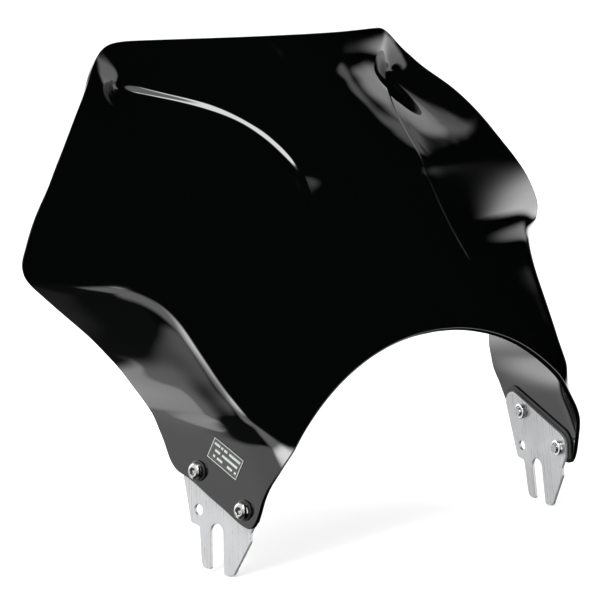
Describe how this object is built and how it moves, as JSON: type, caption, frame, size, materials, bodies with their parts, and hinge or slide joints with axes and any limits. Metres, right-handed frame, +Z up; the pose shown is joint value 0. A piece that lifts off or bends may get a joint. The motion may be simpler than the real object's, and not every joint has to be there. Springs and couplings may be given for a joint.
{
  "type": "motorcycle headlight fly screen",
  "caption": "Wide thermoformed gloss black windscreen shell on slotted aluminium bracket plates that hang on the headlight's side bolts.",
  "frame": {"origin": "on the centre plane, midway between the foremost and rearmost points of the screen, at the level of the bracket tips (bottom centre of the bounding box)", "axes": "+X to the right seen from in front of the screen, +Y to the rear (towards the rider), +Z up; the screen faces -Y"},
  "size_m": [0.4102, 0.1568, 0.3058],
  "materials": {
    "acrylic_black": "high gloss, thermoformed sheet with polished edges",
    "aluminium_brushed": "fine brushed, laser cut",
    "rubber_black": "matt",
    "nylon_black": "semi matt, moulded",
    "stainless_polished": "polished stainless steel",
    "steel_zinc": "zinc plated",
    "label_film": "matt film with a plain printed pattern"
  },
  "bodies": {
    "screen": {"windscreen_shell": "acrylic_black", "bracket_plate_left": "aluminium_brushed", "bracket_plate_right": "aluminium_brushed", "rubber_pad_left": "rubber_black", "rubber_pad_right": "rubber_black", "press_nut_left_rear": "steel_zinc", "press_nut_left_front": "steel_zinc", "press_nut_right_rear": "steel_zinc", "press_nut_right_front": "steel_zinc", "info_label": "label_film"},
    "washer_left_rear": {"shoulder_washer_left_rear": "nylon_black"},
    "screw_left_rear": {"button_screw_left_rear": "stainless_polished"},
    "washer_left_front": {"shoulder_washer_left_front": "nylon_black"},
    "screw_left_front": {"button_screw_left_front": "stainless_polished"},
    "washer_right_rear": {"shoulder_washer_right_rear": "nylon_black"},
    "screw_right_rear": {"button_screw_right_rear": "stainless_polished"},
    "washer_right_front": {"shoulder_washer_right_front": "nylon_black"},
    "screw_right_front": {"button_screw_right_front": "stainless_polished"}
  },
  "joints": [
    {"name": "washer_lift_left_rear", "type": "slide", "parent": "screen", "child": "washer_left_rear", "axis": [-0.9864, -0.1527, 0.0612], "range_m": [0, 0.005]},
    {"name": "screw_turn_left_rear", "type": "hinge", "parent": "washer_left_rear", "child": "screw_left_rear", "pos_m": [-0.13451, -0.01545, 0.05944], "axis": [-0.9864, -0.1527, 0.0612], "range_deg": [0, 1800]},
    {"name": "washer_lift_left_front", "type": "slide", "parent": "screen", "child": "washer_left_front", "axis": [-0.9864, -0.1527, 0.0612], "range_m": [0, 0.005]},
    {"name": "screw_turn_left_front", "type": "hinge", "parent": "washer_left_front", "child": "screw_left_front", "pos_m": [-0.13043, -0.04994, 0.03915], "axis": [-0.9864, -0.1527, 0.0612], "range_deg": [0, 1800]},
    {"name": "washer_lift_right_rear", "type": "slide", "parent": "screen", "child": "washer_right_rear", "axis": [0.9864, -0.1527, 0.0612], "range_m": [0, 0.005]},
    {"name": "screw_turn_right_rear", "type": "hinge", "parent": "washer_right_rear", "child": "screw_right_rear", "pos_m": [0.13451, -0.01545, 0.05944], "axis": [0.9864, -0.1527, 0.0612], "range_deg": [0, 1800]},
    {"name": "washer_lift_right_front", "type": "slide", "parent": "screen", "child": "washer_right_front", "axis": [0.9864, -0.1527, 0.0612], "range_m": [0, 0.005]},
    {"name": "screw_turn_right_front", "type": "hinge", "parent": "washer_right_front", "child": "screw_right_front", "pos_m": [0.13043, -0.04994, 0.03915], "axis": [0.9864, -0.1527, 0.0612], "range_deg": [0, 1800]}
  ],
  "couplings": [
    {"joint": "screw_turn_left_rear", "follows": "washer_lift_left_rear", "rad_per_m": 6283.2},
    {"joint": "screw_turn_left_front", "follows": "washer_lift_left_front", "rad_per_m": 6283.2},
    {"joint": "screw_turn_right_rear", "follows": "washer_lift_right_rear", "rad_per_m": 6283.2},
    {"joint": "screw_turn_right_front", "follows": "washer_lift_right_front", "rad_per_m": 6283.2}
  ]
}
